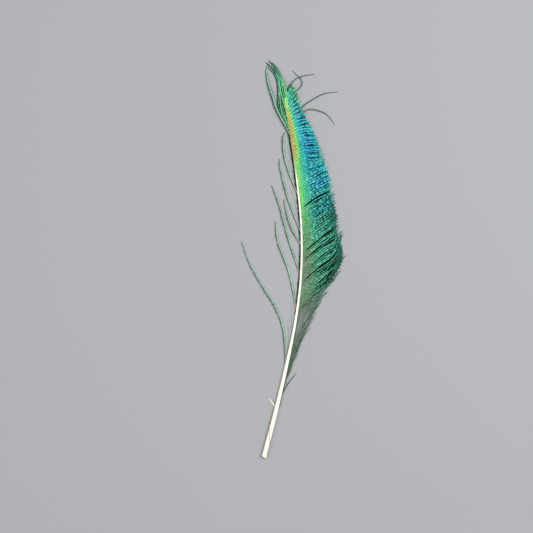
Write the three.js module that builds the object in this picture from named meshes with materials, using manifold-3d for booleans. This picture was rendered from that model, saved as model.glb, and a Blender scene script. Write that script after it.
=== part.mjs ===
// A peacock sword feather, the one-sided side feather of the train, lying on a flat surface
// with its bright side up. It grew as one piece, so it is one solid: a bowed quill, a broad vane of
// locks on its right, a tuft past its end, and loose barbs on its left.
//
// Millimetres, +Z up. The surface is z = 0. The origin is on the quill's flat underside, near its
// cut end; +Y runs up the feather and +X towards the broad vane.
import * as THREE from 'three';
import { mergeVertices } from 'three/addons/utils/BufferGeometryUtils.js';
import Module from 'manifold-3d';

// ---- Driving dimensions ----------------------------------------------------------------------

const QUILL = {
  foot: -12, // y of the cut end
  end: 276, // y where the quill runs out
  // x of the quill's centreline at equal steps of y, from the cut end to the end
  bow: [-3.0, 6.4, 14.9, 22.2, 26.55, 27.0, 23.9, 18.9, 13.0],
  widths: [4.0, 3.5, 2.9, 2.15, 1.75, 1.55, 1.3, 0.95, 0.6], // at the same steps
  height: 0.88, // of its width
  sides: 8,
  steps: 26,
  lift: 2.4, // how far its end stands off the surface
  liftFrom: 150, // y from where it leaves the surface
};

const VANE = {
  from: 31.6, // y on the quill of the lowest barbs
  to: 271.6, // y on the quill of the highest ones
  locks: 56,
  // Where barbs end, for roots at equal steps of y along the quill
  margin: [
    [19.3, 61.5], [29.0, 84.4], [39.5, 104.4], [49.5, 122.8], [59.5, 138.4], [62.1, 157.2], [57.4, 174.4],
    [54.2, 189.6], [50.7, 206.8], [45.1, 225.2], [38.7, 243.2], [30.2, 262.0], [19.9, 285.2],
  ],
  sparseUntil: 0.3, // share of the vane, from its foot, where barbs stand apart
  sparseWidth: 1.4,
  lockWidth: 4.3,
  lockThickness: 1.5,
  rootHeight: 0.72, // where barbs leave the quill, as a share of its height
  raggedness: 2.6, // how unevenly locks end
  // Where the locks have come apart, as shares of the vane, and how far each parting opens there
  partings: [[0.3, 0.005], [0.393, 0.006], [0.49, 0.007], [0.643, 0.007]],
  partingReach: 0.025, // share of the vane over which a parting pushes its neighbours aside
};

// Loose barbs and the tuft, each a run of points [x, y] from its root to its tip.
const LOOSE = {
  width: 1.0,
  thickness: 0.8,
  left: [
    [[14.3, 58.8], [12.7, 88.4], [6.0, 107.4], [-2.2, 121.2], [-14.1, 141.6], [-20.8, 159.7]],
    [[23.5, 103.6], [17.7, 133.3], [9.8, 155.2], [7.2, 164.8], [6.4, 176.4]],
    [[25.8, 133.2], [16.3, 163.0], [9.7, 187.6], [3.4, 204.7]],
    [[25.8, 158.0], [18.3, 172.4], [12.7, 193.2]],
    [[25.7, 168.0], [17.7, 190.2], [10.7, 215.6], [9.4, 226.0]],
    [[24.0, 197.2], [14.7, 222.8], [12.3, 240.4], [13.5, 246.8]],
  ],
  right: [
    [[9.3, 35.0], [15.5, 45.0], [23.0, 55.0]],
    [[15.5, 256.0], [26.6, 266.5], [36.0, 273.4], [45.0, 278.0], [56.1, 279.8]],
    [[17.5, 249.0], [26.0, 261.0], [33.1, 265.4], [41.4, 264.2], [47.8, 261.0], [53.6, 253.2]],
    [[13.6, 272.0], [22.9, 279.9], [27.0, 284.6], [26.6, 289.4], [19.3, 297.0]],
    [[13.2, 274.0], [19.3, 286.7], [27.6, 292.0], [37.7, 293.8]],
  ],
};

const TUFT = {
  width: 2.4,
  thickness: 1.1,
  barbs: [
    [[17.0, 247.0], [8.3, 267.0], [3.7, 277.0], [0.5, 286.2], [-0.9, 295.4], [0.4, 301.6]],
    [[16.9, 250.0], [12.9, 263.3], [8.3, 279.4], [7.4, 288.6], [5.0, 295.4], [0.7, 302.6]],
    [[16.7, 254.0], [14.7, 267.8], [11.5, 279.4], [9.7, 289.4], [7.4, 297.7], [2.7, 303.7]],
    [[16.1, 259.0], [16.1, 270.2], [14.2, 281.7], [12.0, 289.9], [8.3, 298.1], [4.1, 302.3]],
    [[15.2, 266.0], [16.1, 281.7], [14.2, 287.6], [11.0, 294.0]],
    [[14.6, 268.5], [18.0, 279.6], [19.4, 287.0]],
  ],
};

// What is left of barbs that were stripped off by the cut end, pale like the quill.
const STRIPPED = {
  width: 1.2,
  thickness: 1.0,
  barbs: [
    [[6.2, 28.0], [1.1, 34.2]],
    [[0.6, 4.0], [1.4, 17.0], [3.2, 27.2]],
  ],
};

const COLOUR = { barbs: 0x2f9f86 };

// ---- Helpers ---------------------------------------------------------------------------------

/** A repeatable random number from 0 to 1 for a whole number. */
function chance(n) {
  const s = Math.sin(n * 127.1 + 311.7) * 43758.5453;
  return s - Math.floor(s);
}

function flatCurve(points) {
  return new THREE.CatmullRomCurve3(points.map(([x, y]) => new THREE.Vector3(x, y, 0)));
}

const quillLine = flatCurve(
  QUILL.bow.map((x, i) => [x, QUILL.foot + ((QUILL.end - QUILL.foot) * i) / (QUILL.bow.length - 1)]),
);
const marginLine = flatCurve(VANE.margin);

/** How far along the quill a height y is, from 0 at the cut end to 1. */
const along = (y) => THREE.MathUtils.clamp((y - QUILL.foot) / (QUILL.end - QUILL.foot), 0, 1);

/** The quill's width at a share t of its length. */
function quillWidth(t) {
  const place = t * (QUILL.widths.length - 1);
  const i = Math.min(Math.floor(place), QUILL.widths.length - 2);
  return THREE.MathUtils.lerp(QUILL.widths[i], QUILL.widths[i + 1], place - i);
}

const quillHeight = (t) => quillWidth(t) * QUILL.height;

/** How far a point stands off the surface because the quill's end curves up. */
function liftAt(y) {
  const t = Math.max(0, (y - QUILL.liftFrom) / (QUILL.end - QUILL.liftFrom));
  return QUILL.lift * t * t;
}

/** A closed solid through rings of points that all have the same count; a ring of 1 point is a tip. */
function skin(rings) {
  const points = rings.flat();
  const starts = rings.map((ring, i) => rings.slice(0, i).reduce((sum, r) => sum + r.length, 0));
  const faces = [];
  for (let r = 0; r + 1 < rings.length; r++) {
    const n = rings[r].length;
    for (let k = 0; k < n; k++) {
      const a = starts[r] + k;
      const b = starts[r] + ((k + 1) % n);
      if (rings[r + 1].length === 1) {
        faces.push([b, a, starts[r + 1]]);
        continue;
      }
      const c = starts[r + 1] + ((k + 1) % n);
      const d = starts[r + 1] + k;
      faces.push([b, a, c], [c, a, d]);
    }
  }
  const last = rings.length - 1;
  for (let k = 1; k + 1 < rings[0].length; k++) faces.push([0, k, k + 1]);
  for (let k = 1; k + 1 < rings[last].length; k++) {
    faces.push([starts[last], starts[last] + k + 1, starts[last] + k]);
  }
  const geometry = new THREE.BufferGeometry().setFromPoints(points);
  geometry.setIndex(faces.flat());
  return geometry;
}

/** The unit vector in the surface's plane that points to the right of a direction. */
const rightOf = (direction) => new THREE.Vector3(direction.y, -direction.x, 0).normalize();

/**
 * A strand with a lens-shaped section, pointed at its tip.
 * line: a curve in plan. size(t): its full width and thickness. height(t, point): its middle's z.
 */
function strand(line, steps, size, height) {
  const rings = [];
  for (let i = 0; i < steps; i++) {
    const t = i / steps;
    const middle = line.getPoint(t);
    const side = rightOf(line.getTangent(t));
    const { width, thickness } = size(t);
    middle.z = Math.max(height(t, middle), thickness / 2);
    const up = new THREE.Vector3(0, 0, thickness / 2);
    rings.push([
      middle.clone().addScaledVector(side, width / 2),
      middle.clone().add(up),
      middle.clone().addScaledVector(side, -width / 2),
      middle.clone().sub(up),
    ]);
  }
  const tip = line.getPoint(1);
  tip.z = Math.max(height(1, tip), size(1).thickness / 2);
  rings.push([tip]);
  return skin(rings);
}

// ---- The feather's parts ---------------------------------------------------------------------

/** The quill: an eight-sided section with a flat underside, tapering from the cut end. */
function quill() {
  const rings = [];
  for (let i = 0; i <= QUILL.steps; i++) {
    const t = i / QUILL.steps;
    const middle = quillLine.getPoint(t);
    const side = rightOf(quillLine.getTangent(t));
    const radius = quillWidth(t) / 2 / Math.cos(Math.PI / QUILL.sides);
    const bottom = liftAt(middle.y);
    const ring = [];
    for (let k = 0; k < QUILL.sides; k++) {
      const angle = (2 * Math.PI * (k + 0.5)) / QUILL.sides;
      const point = middle.clone().addScaledVector(side, radius * Math.cos(angle));
      point.z = bottom + quillHeight(t) / 2 + (quillHeight(t) / quillWidth(t)) * radius * Math.sin(angle);
      ring.push(point);
    }
    rings.push(ring);
  }
  return skin(rings);
}

/** How far the partings push a lock's tip along the margin, as a share of it. */
function parted(share) {
  const push = ([at, opening]) => {
    const away = (share - at) / VANE.partingReach;
    return opening * Math.sign(away) * Math.exp(-away * away);
  };
  return VANE.partings.reduce((sum, parting) => sum + push(parting), 0);
}

/** One lock of the broad vane, from its root inside the quill out to the margin. */
function lock(index) {
  const share = (index + 0.5) / VANE.locks;
  const y = THREE.MathUtils.lerp(VANE.from, VANE.to, share);
  const root = quillLine.getPoint(along(y));
  const up = quillLine.getTangent(along(y));
  const tip = marginLine.getPoint(THREE.MathUtils.clamp(share + parted(share), 0, 1));
  const span = tip.clone().sub(root);
  const length = span.length();
  tip.addScaledVector(span.normalize(), -VANE.raggedness * chance(index));
  const bend = root.clone().addScaledVector(span, 0.4 * length).addScaledVector(up, 0.1 * length);
  const line = new THREE.QuadraticBezierCurve3(root, bend, tip);

  const sparse = share < VANE.sparseUntil;
  const full = sparse ? VANE.sparseWidth : VANE.lockWidth;
  const rootZ = liftAt(y) + VANE.rootHeight * quillHeight(along(y));
  const size = (t) => ({
    width: full * Math.min(1, 0.55 + 1.5 * t) * (1 - 0.55 * Math.pow(t, 4)),
    thickness: Math.min(sparse ? 0.9 : VANE.lockThickness, 0.62 * quillHeight(along(y)) + 1.4 * t),
  });
  const height = (t) => rootZ * Math.pow(1 - t, 1.2) + (liftAt(tip.y) * 0.5 + 0.1) * t;
  return strand(line, sparse ? 5 : 6, size, height);
}

/** A barb that lies by itself: it leaves the quill at its side and comes down to the surface. */
function looseBarb(points, { width, thickness }, steps = 3 * (points.length - 1)) {
  const y = points[0][1];
  const line = flatCurve([[quillLine.getPoint(along(y)).x, y - 2], ...points.slice(1)]);
  const rootZ = liftAt(y) + 0.5 * quillHeight(along(y));
  const rootSize = 0.8 * quillHeight(along(y));
  const size = (t) => ({
    width: Math.min(width, rootSize + 6 * t) * (1 - 0.5 * t),
    thickness: Math.min(thickness, rootSize + 6 * t) * (1 - 0.4 * t),
  });
  const height = (t, point) => {
    const rest = 0.6 * liftAt(Math.min(point.y, QUILL.end)) * (1 - t * t);
    return THREE.MathUtils.lerp(rest, rootZ, Math.pow(1 - t, 3));
  };
  return strand(line, steps, size, height);
}

// ---- Joined in one solid ---------------------------------------------------------------------

const wasm = await Module();
wasm.setup();

function solidOf(geometry) {
  const merged = mergeVertices(geometry, 1e-4);
  return new wasm.Manifold(
    new wasm.Mesh({
      numProp: 3,
      vertProperties: new Float32Array(merged.attributes.position.array),
      triVerts: new Uint32Array(merged.index.array),
    }),
  );
}

function geometryOf(solid) {
  const { vertProperties, triVerts } = solid.getMesh();
  const geometry = new THREE.BufferGeometry();
  geometry.setAttribute('position', new THREE.BufferAttribute(vertProperties, 3));
  geometry.setIndex(new THREE.BufferAttribute(triVerts, 1));
  geometry.computeVertexNormals();
  return geometry;
}

const pieces = [
  quill(),
  ...Array.from({ length: VANE.locks }, (_, i) => lock(i)),
  ...TUFT.barbs.map((points) => looseBarb(points, TUFT)),
  ...[...LOOSE.left, ...LOOSE.right].map((points) => looseBarb(points, LOOSE)),
  ...STRIPPED.barbs.map((points) => looseBarb(points, STRIPPED)),
];

const feather = new THREE.Mesh(
  geometryOf(pieces.map(solidOf).reduce((all, piece) => all.add(piece))),
  new THREE.MeshStandardMaterial({ color: COLOUR.barbs, roughness: 0.45, metalness: 0.2, flatShading: true }),
);
feather.name = 'feather';

const part = new THREE.Group();
part.add(feather);
export default part;
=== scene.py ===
"""A peacock sword feather that lies on a pale surface with its bright side up.

The feather is one grown thing: a cream quill, a broad vane of barbs on its right, a tuft past the
quill's end, and loose barbs on its left. Each barb is a thin ribbon with rows of barbules along both
edges. Sizes in the classes are millimetres in the frame's own axes, and meshes are made in metres.
"""

from __future__ import annotations

import logging
import math
from dataclasses import dataclass, field
from enum import Enum
from functools import partial
from typing import Any, Sequence

import bpy
import numpy as np
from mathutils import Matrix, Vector

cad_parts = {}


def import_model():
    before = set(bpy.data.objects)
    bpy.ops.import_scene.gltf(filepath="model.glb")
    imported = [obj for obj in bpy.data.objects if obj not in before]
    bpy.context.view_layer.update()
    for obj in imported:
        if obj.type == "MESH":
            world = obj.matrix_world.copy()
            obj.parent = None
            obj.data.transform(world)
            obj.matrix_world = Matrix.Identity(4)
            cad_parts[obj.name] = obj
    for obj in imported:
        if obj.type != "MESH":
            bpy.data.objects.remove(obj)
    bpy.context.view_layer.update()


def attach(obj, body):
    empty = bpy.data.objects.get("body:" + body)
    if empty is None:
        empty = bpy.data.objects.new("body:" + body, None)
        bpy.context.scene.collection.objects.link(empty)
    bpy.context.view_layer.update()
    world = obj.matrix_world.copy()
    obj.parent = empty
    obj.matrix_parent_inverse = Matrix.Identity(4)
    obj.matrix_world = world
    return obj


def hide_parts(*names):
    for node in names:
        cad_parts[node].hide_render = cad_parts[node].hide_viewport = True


LOG = logging.getLogger("feather")
MM = 0.001
BODY = "root"

Array = np.ndarray
Stops = Sequence[tuple[float, str]]
Route = Sequence[tuple[float, float]]
# Numbers or arrays for the two rows of barbules, the lower first
Pair = tuple[Any, Any]
# Two places between which something sets in, and two more where it fades again, if it does
Window = tuple[float, ...]
# A mix node's settings, and its inputs and output for colours
MIX = {"data_type": "RGBA", "clamp_factor": True}
SHARE, FIRST, SECOND, MIXED = 0, 6, 7, 2


# ---- Colours and nodes -----------------------------------------------------------------------


def linear(hex_colour: str) -> tuple[float, float, float, float]:
    """Turns an sRGB hex colour to linear light.

    Args:
        hex_colour: Six hex digits after a hash sign.

    Returns:
        Red, green, blue and alpha.
    """
    parts = [int(hex_colour[i : i + 2], 16) / 255 for i in (1, 3, 5)]
    light = [c / 12.92 if c <= 0.04045 else ((c + 0.055) / 1.055) ** 2.4 for c in parts]
    return (light[0], light[1], light[2], 1.0)


def add_node(
    tree: bpy.types.NodeTree,
    kind: str,
    settings: dict[str, Any],
    inputs: dict[Any, Any],
    output: int | str = 0,
) -> bpy.types.NodeSocket:
    """Adds one shader node with its settings, and values or links on its inputs.

    Args:
        tree: The material's node tree.
        kind: Blender's type name of the node, after ShaderNode.
        settings: Properties of the node.
        inputs: Input name or index to a value, or to the socket that feeds it.
        output: The name or index of the output that is wanted.

    Returns:
        That output.
    """
    made = tree.nodes.new("ShaderNode" + kind)
    for name, value in settings.items():
        if name == "stops":
            set_stops(made.color_ramp, value)
        else:
            setattr(made, name, value)
    for key, value in inputs.items():
        if isinstance(value, bpy.types.NodeSocket):
            tree.links.new(value, made.inputs[key])
        else:
            made.inputs[key].default_value = value
    return made.outputs[output]


def set_stops(ramp: bpy.types.ColorRamp, stops: Stops) -> None:
    """Sets a colour ramp's stops, from left to right.

    Args:
        ramp: The colour ramp.
        stops: Its stops, each a place from 0 to 1 and a hex colour.
    """
    while len(ramp.elements) > 1:
        ramp.elements.remove(ramp.elements[-1])
    ramp.elements[0].position, ramp.elements[0].color = stops[0][0], linear(stops[0][1])
    for place, colour in stops[1:]:
        ramp.elements.new(place).color = linear(colour)


def new_material(name: str) -> tuple[bpy.types.Material, bpy.types.NodeTree, bpy.types.Node]:
    """Makes an empty material.

    Args:
        name: The material's name.

    Returns:
        The material, its node tree and its Principled shader.
    """
    material = bpy.data.materials.new(name)
    material.use_nodes = True
    tree = material.node_tree
    return material, tree, tree.nodes["Principled BSDF"]


# ---- Curves ----------------------------------------------------------------------------------


def spline(points: Sequence[Sequence[float]], at: Array) -> Array:
    """Follows a smooth curve through evenly counted points, as the solid does.

    Args:
        points: The points that the curve passes through, each of any number of coordinates.
        at: Where along it, from 0 at the first point to 1 at the last.

    Returns:
        One row per value of at.
    """
    p = np.asarray(points, float)
    padded = np.vstack([2 * p[0] - p[1], p, 2 * p[-1] - p[-2]])
    place = np.clip(np.asarray(at, float), 0, 1) * (len(p) - 1)
    i = np.minimum(place.astype(int), len(p) - 2)
    t = (place - i)[:, None]
    a, b, c, d = (padded[i + k] for k in range(4))
    start, end = 0.5 * (c - a), 0.5 * (d - b)
    return (
        (2 * t**3 - 3 * t**2 + 1) * b
        + (t**3 - 2 * t**2 + t) * start
        + (3 * t**2 - 2 * t**3) * c
        + (t**3 - t**2) * end
    )


def smoothstep(low: float, high: float, value: Any) -> Any:
    """Rises smoothly from 0 at low to 1 at high."""
    t = np.clip((value - low) / (high - low), 0, 1)
    return t * t * (3 - 2 * t)


def within(value: Any, window: Window) -> Any:
    """1 inside a window, 0 outside it, and smooth between."""
    rise = smoothstep(window[0], window[1], value)
    return rise * (1 - smoothstep(window[2], window[3], value)) if len(window) > 2 else rise


def unit(vectors: Array) -> Array:
    """Each row at length 1."""
    return vectors / np.maximum(np.linalg.norm(vectors, axis=-1, keepdims=True), 1e-9)


def distances(points: Array) -> Array:
    """How far along a line each of its points is."""
    return np.concatenate([[0], np.cumsum(np.linalg.norm(np.diff(points, axis=0), axis=1))])


@dataclass
class Plan:
    """The feather's layout, which the solid has too: the quill's line and size, and the vane's margin."""

    foot: float = -12.0
    end: float = 276.0
    bow: tuple[float, ...] = (-3.0, 6.4, 14.9, 22.2, 26.55, 27.0, 23.9, 18.9, 13.0)
    widths: tuple[float, ...] = (4.0, 3.5, 2.9, 2.15, 1.75, 1.55, 1.3, 0.95, 0.6)
    height_share: float = 0.88
    lift: float = 2.4
    lift_from: float = 150.0
    vane_from: float = 31.6
    vane_to: float = 271.6
    margin: tuple[tuple[float, float], ...] = (
        (19.3, 61.5), (29.0, 84.4), (39.5, 104.4), (49.5, 122.8), (59.5, 138.4), (62.1, 157.2),
        (57.4, 174.4), (54.2, 189.6), (50.7, 206.8), (45.1, 225.2), (38.7, 243.2), (30.2, 262.0),
        (19.9, 285.2),
    )  # fmt: skip
    # Where the barbs have come apart, as shares of the vane, and how far each parting opens there
    partings: tuple[tuple[float, float], ...] = (
        (0.3, 0.003), (0.393, 0.003), (0.468, 0.002), (0.49, 0.003), (0.643, 0.0035),
    )  # fmt: skip
    parting_reach: float = 0.02
    split: tuple[float, float] = (-2.0, 12.0)

    def root_y(self, share: float) -> float:
        """The height on the quill at which the vane's barb at a share of its height grows."""
        return self.vane_from + share * (self.vane_to - self.vane_from)

    def along(self, y: Any) -> Any:
        """How far along the quill a height y is, from 0 at its cut end to 1."""
        return np.clip((np.asarray(y, float) - self.foot) / (self.end - self.foot), 0, 1)

    def quill_at(self, y: Any) -> Array:
        """Finds points on the quill's centreline.

        Args:
            y: One height or more.

        Returns:
            A point [x, y] for each.
        """
        t = np.atleast_1d(self.along(y))
        x = spline([[x] for x in self.bow], t)[:, 0]
        return np.stack([x, self.foot + t * (self.end - self.foot)], 1)

    def quill_direction(self, y: float) -> Array:
        """Finds the quill's direction in plan, towards its tip.

        Args:
            y: The height.

        Returns:
            The direction, of length 1.
        """
        step = 0.5
        a, b = self.quill_at(max(self.foot, y - step))[0], self.quill_at(min(self.end, y + step))[0]
        return unit(b - a)

    def width(self, y: Any) -> Any:
        """The quill's width at height y."""
        t = np.asarray(self.along(y)) * (len(self.widths) - 1)
        return np.interp(t, np.arange(len(self.widths)), self.widths)

    def height(self, y: Any) -> Any:
        """The quill's height, from its underside to its top, at height y up the feather."""
        return self.height_share * self.width(y)

    def lifted(self, y: Any) -> Any:
        """How far the quill's underside stands off the surface at height y."""
        t = np.maximum(0, (np.asarray(y, float) - self.lift_from) / (self.end - self.lift_from))
        return self.lift * t * t

    def split_at(self, y: Any) -> Any:
        """How far across the quill, from -1 to 1, the split in its sheath lies at height y."""
        return -1.1 + 2.1 * (self.split[1] - np.asarray(y, float)) / (self.split[1] - self.split[0])

    def parted(self, share: float) -> float:
        """How far the partings push a barb's tip along the margin.

        Args:
            share: The barb's place up the vane.

        Returns:
            The push, as a share of the margin.
        """
        pushes = []
        for at, opening in self.partings:
            away = (share - at) / self.parting_reach
            pushes.append(opening * float(np.sign(away)) * math.exp(-away * away))
        return sum(pushes)

    def margin_at(self, shares: Array) -> Array:
        """The points [x, y] on the vane's margin where barbs end, at shares of the vane's height."""
        return spline(self.margin, np.clip(shares, 0, 1))


# ---- Barbs -----------------------------------------------------------------------------------


@dataclass
class Colouring:
    """Where the vane's colours lie.

    A barbule's colour comes from how thick its films are: film runs from 0, thick and gold, to 1, thin and
    blue. dull runs from 0, bright, to 1, downy and grey. Each blue patch is a place up the vane, one along
    the barb and a strength. The gold's middle and width are its distances from the quill.
    """

    leaf: float = 0.39
    lower: float = 0.54
    upper: float = 0.8
    to_lime: float = 0.08
    to_gold: float = 0.27
    to_teal: float = 0.14
    to_blue: float = 0.17
    gold_middle: float = 2.7
    gold_width: float = 3.6
    blue_patches: tuple[tuple[float, float, float], ...] = ((0.685, 0.7, 1.0), (0.835, 0.66, 0.45))
    blue_size: tuple[float, float] = (0.025, 0.17)

    def film(self, share: float, reach: Array, away: Array) -> Array:
        """How thin the films are along a barb.

        Args:
            share: The barb's place up the vane, from 0 to 1.
            reach: Places along the barb, from 0 at its root to 1.
            away: Their distance from the root.

        Returns:
            The film value at each place.
        """
        outer = self.lower + (self.upper - self.lower) * smoothstep(0.36, 0.9, share)
        film = self.leaf + (outer - self.leaf) * smoothstep(0.05, 0.52, reach)
        lime = smoothstep(0.55, 0.7, share) * (1 - smoothstep(1.0, 6.0, away))
        gold = within(share, (0.765, 0.84, 0.95, 1.02))
        gold = gold * np.exp(-(((away - self.gold_middle) / self.gold_width) ** 2))
        edge = smoothstep(0.7, 0.8, share) * smoothstep(0.78, 1.0, reach)
        edge = edge + 2 * smoothstep(0.92, 1.0, share) * smoothstep(0.25, 0.6, reach)
        film = film - self.to_lime * lime - self.to_gold * gold - self.to_teal * edge
        return film + self.to_blue * self.blue(share, reach)

    def blue(self, share: float, reach: Array) -> Array:
        """How much of a bright blue patch lies at each place along a barb.

        Args:
            share: The barb's place up the vane.
            reach: Places along the barb, from 0 to 1.

        Returns:
            The blue at each place, from 0 to 1.
        """
        high, wide = self.blue_size
        patches = [
            strength * np.exp(-(((share - s) / high) ** 2) - ((reach - r) / wide) ** 2)
            for s, r, strength in self.blue_patches
        ]
        return np.sum(patches, axis=0)

    def dull(self, share: float, reach: Array) -> Array:
        """How downy and grey the barb is at each place along it.

        Args:
            share: The barb's place up the vane.
            reach: Places along the barb, from 0 to 1.

        Returns:
            The dull value at each place.
        """
        inner = (1 - smoothstep(0.4, 0.72, share)) * (1 - smoothstep(0.2, 0.5, reach))
        low = 1 - smoothstep(0.3, 0.48, share + 0.12 * reach) * (0.1 + 0.65 * smoothstep(0.1, 0.6, reach))
        low = low * (1 - 0.25 * smoothstep(0.16, 0.26, share) * smoothstep(0.55, 0.85, reach))
        outer = 0.2 * (1 - smoothstep(0.5, 0.68, share))
        return np.maximum(0.9 * np.maximum(inner, low * (1 - smoothstep(0.4, 0.5, share))), outer)


@dataclass
class Strand:
    """One barb: its centreline, and what it is like at each point of it.

    roll turns its flat face about its line. barbule is how long its barbules are, light is how much light is
    painted into its colour, as highlights, shade and uneven tone, and loose is how far it stands apart from
    its neighbours. rows says how long the barbules of its lower and upper row are at each point. Where it is
    loose, row_lights says how bright each row is painted, since one often faces away and is painted in shade,
    and the barbules' tips are painted darker, as shade.
    """

    points: Array
    half_width: Array
    thickness: Array
    roll: Array
    barbule: Array
    rows: Pair
    row_lights: Pair
    film: Array
    dull: Array
    light: Array
    loose: Array

    @property
    def reach(self) -> Array:
        """How far along the barb each point is, from 0 at its root to 1."""
        return distances(self.points) / max(self.length, 1e-9)

    @property
    def length(self) -> float:
        """The barb's length."""
        return float(np.linalg.norm(np.diff(self.points, axis=0), axis=1).sum())

    def axes(self) -> tuple[Array, Array, Array]:
        """Directions along the barb, to its side and out of its face, turned by its roll.

        Returns:
            The three directions at each point.
        """
        forward = unit(np.gradient(self.points, axis=0))
        side = unit(np.cross(forward, np.array([0.0, 0.0, 1.0])))
        face = np.cross(side, forward)
        cos, sin = np.cos(self.roll)[:, None], np.sin(self.roll)[:, None]
        return forward, cos * side + sin * face, cos * face - sin * side


@dataclass
class StrandMesh:
    """Gathers barbs in one mesh: each is a closed ribbon with closed barbules along both its edges.

    Real barbules are about 0.03 mm apart, too fine to show, so these are as coarse as they need to be. Ones
    shorter than full_blade are narrower. They grow at inset of the ribbon's half width. Where a barb is
    loose, its ribbon's edges are painted in shade at rib_light of its rows' light, and the barbules' tips are
    painted darker, as shade, by tip_shade.
    """

    name: str
    spacing: float = 0.26
    place_jitter: float = 0.7
    angle: float = math.radians(46)
    angle_jitter: float = 0.3
    raising: float = 0.35
    blade: float = 0.24
    full_blade: float = 0.8
    blade_thickness: float = 0.07
    inset: float = 0.35
    rib_light: float = 0.75
    tip_shade: float = 0.5
    strip: float = 0.45
    lowest: float = 0.02
    seed: int = 1

    VALUES = ("film", "dull", "light", "reach", "strip")

    def __post_init__(self) -> None:
        """Starts the random numbers and the empty lists."""
        self.rng = np.random.default_rng(self.seed)
        self.vertices: list[Array] = []
        self.faces: list[Array] = []
        self.smooth: list[Array] = []
        self.values: dict[str, list[Array]] = {key: [] for key in self.VALUES}
        self.count = 0
        self.strands = 0

    def _add(self, vertices: Array, faces: Array, smooth: bool, values: dict[str, Array]) -> None:
        """Adds a closed form.

        Args:
            vertices: The points.
            faces: Three of their indices for each triangle.
            smooth: Whether the triangles are shaded smooth.
            values: What the materials read, for each name one value or one per vertex.
        """
        self.vertices.append(vertices)
        self.faces.append(faces + self.count)
        self.smooth.append(np.full(len(faces), smooth))
        for key in self.VALUES:
            self.values[key].append(np.broadcast_to(values[key], (len(vertices),)).astype(float))
        self.count += len(vertices)

    def add(self, strand: Strand, barbules: bool = True) -> None:
        """Adds one barb.

        Args:
            strand: The barb.
            barbules: Whether it has barbules.
        """
        self._ribbon(strand)
        if barbules:
            for row, sign in enumerate((1, -1)):
                self._barbules(strand, row, sign)
        self.strands += 1

    def _ribbon(self, s: Strand) -> None:
        """Adds the barb's ribbon, a lens-shaped section that ends in a point.

        Args:
            s: The barb.
        """
        _, side, face = s.axes()
        across, out = side * s.half_width[:, None], face * s.thickness[:, None] / 2
        rings = np.stack([s.points + across, s.points + out, s.points - across, s.points - out], 1)
        n = len(s.points) - 1
        vertices = np.vstack([rings[:n].reshape(-1, 3), s.points[-1:]])
        vertices[:, 2] = np.maximum(vertices[:, 2], self.lowest)
        k = np.arange(4)
        a = (4 * np.arange(n - 1)[:, None] + k).ravel()
        b = (4 * np.arange(n - 1)[:, None] + (k + 1) % 4).ravel()
        c, d = b + 4, a + 4
        ends = np.stack([4 * (n - 1) + (k + 1) % 4, 4 * (n - 1) + k, np.full(4, 4 * n)], 1)
        root = np.array([[0, 1, 2], [0, 2, 3]])
        faces = np.vstack([np.stack([b, a, c], 1), np.stack([c, a, d], 1), ends, root])

        def ring(values: Array, edge: Array) -> Array:
            """The values at each ring's four corners, and at the tip."""
            return np.concatenate([(values[:n, None] * edge[:n]).ravel(), values[n:]])

        ones = np.ones((n + 1, 4))
        # Where the barb is loose, the ribbon's side edges are painted in shade
        sides = [1 - s.loose * (1 - self.rib_light * share) for share in s.row_lights]
        dim = np.stack([sides[0], ones[:, 0], sides[1], ones[:, 0]], 1)
        sign = self.strip * np.array([1.0, 0.0, -1.0, 0.0])
        values = {
            "film": ring(s.film, ones),
            "dull": ring(s.dull, ones),
            "light": ring(s.light, dim),
            "reach": ring(s.reach, ones),
            "strip": np.concatenate([np.tile(sign, n), [0.0]]) + self.strands,
        }
        self._add(vertices, faces, True, values)

    def _uneven(self, count: int) -> Array:
        """Random factors between 0.7 and 1.3."""
        return 0.7 + 0.6 * self.rng.random(count)

    def _barbules(self, s: Strand, row: int, sign: int) -> None:
        """Adds one row of barbules, each a thin closed blade that points outwards and up the barb.

        Args:
            s: The barb.
            row: 0 for its lower row, 1 for its upper one.
            sign: 1 or -1, for the side that the row is on.
        """
        count = max(2, int(s.length / self.spacing))
        reach = s.reach
        at = (np.arange(count) + self.rng.random(count) * self.place_jitter) / count
        forward, side, face = s.axes()

        def follow(values: Array) -> Array:
            """The value at each barbule's root."""
            if values.ndim == 1:
                return np.interp(at, reach, values)
            return np.stack([np.interp(at, reach, values[:, k]) for k in range(values.shape[1])], 1)

        p, t = follow(s.points), unit(follow(forward))
        out, up = unit(follow(side)) * sign, unit(follow(face))
        length = follow(s.barbule * s.rows[row]) * self._uneven(count)
        angle = self.angle + self.angle_jitter * (self.rng.random(count) - 0.5)
        raised = self.raising * (self.rng.random(count) - 0.45)
        outward = np.sin(angle)[:, None] * unit(out + up * raised[:, None]) + np.cos(angle)[:, None] * t
        blade = self.blade * np.minimum(1, length / self.full_blade)[:, None] / 2
        base = p + out * (self.inset * follow(s.half_width))[:, None]
        top, end = base + up * self.blade_thickness, base + outward * length[:, None]
        blades = np.stack([base - t * blade, base + t * blade, top, end], 1)
        blades[:, 3, 2] = np.maximum(blades[:, 3, 2], self.lowest + 0.01)
        blades[:, :, 2] = np.maximum(blades[:, :, 2], self.lowest)

        # Each blade is a tetrahedron, and its faces are turned outwards
        a, b, c, e = (blades[:, i] for i in range(4))
        inside_out = np.einsum("ij,ij->i", np.cross(b - a, c - a), e - a) > 0
        faces = np.array([[0, 1, 2], [0, 3, 1], [1, 3, 2], [2, 3, 0]])
        faces = np.where(inside_out[:, None, None], faces[:, ::-1][None], faces[None])
        faces = (faces + 4 * np.arange(count)[:, None, None]).reshape(-1, 3)

        # The row that faces away is painted in shade, and so are the barbules' tips
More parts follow.
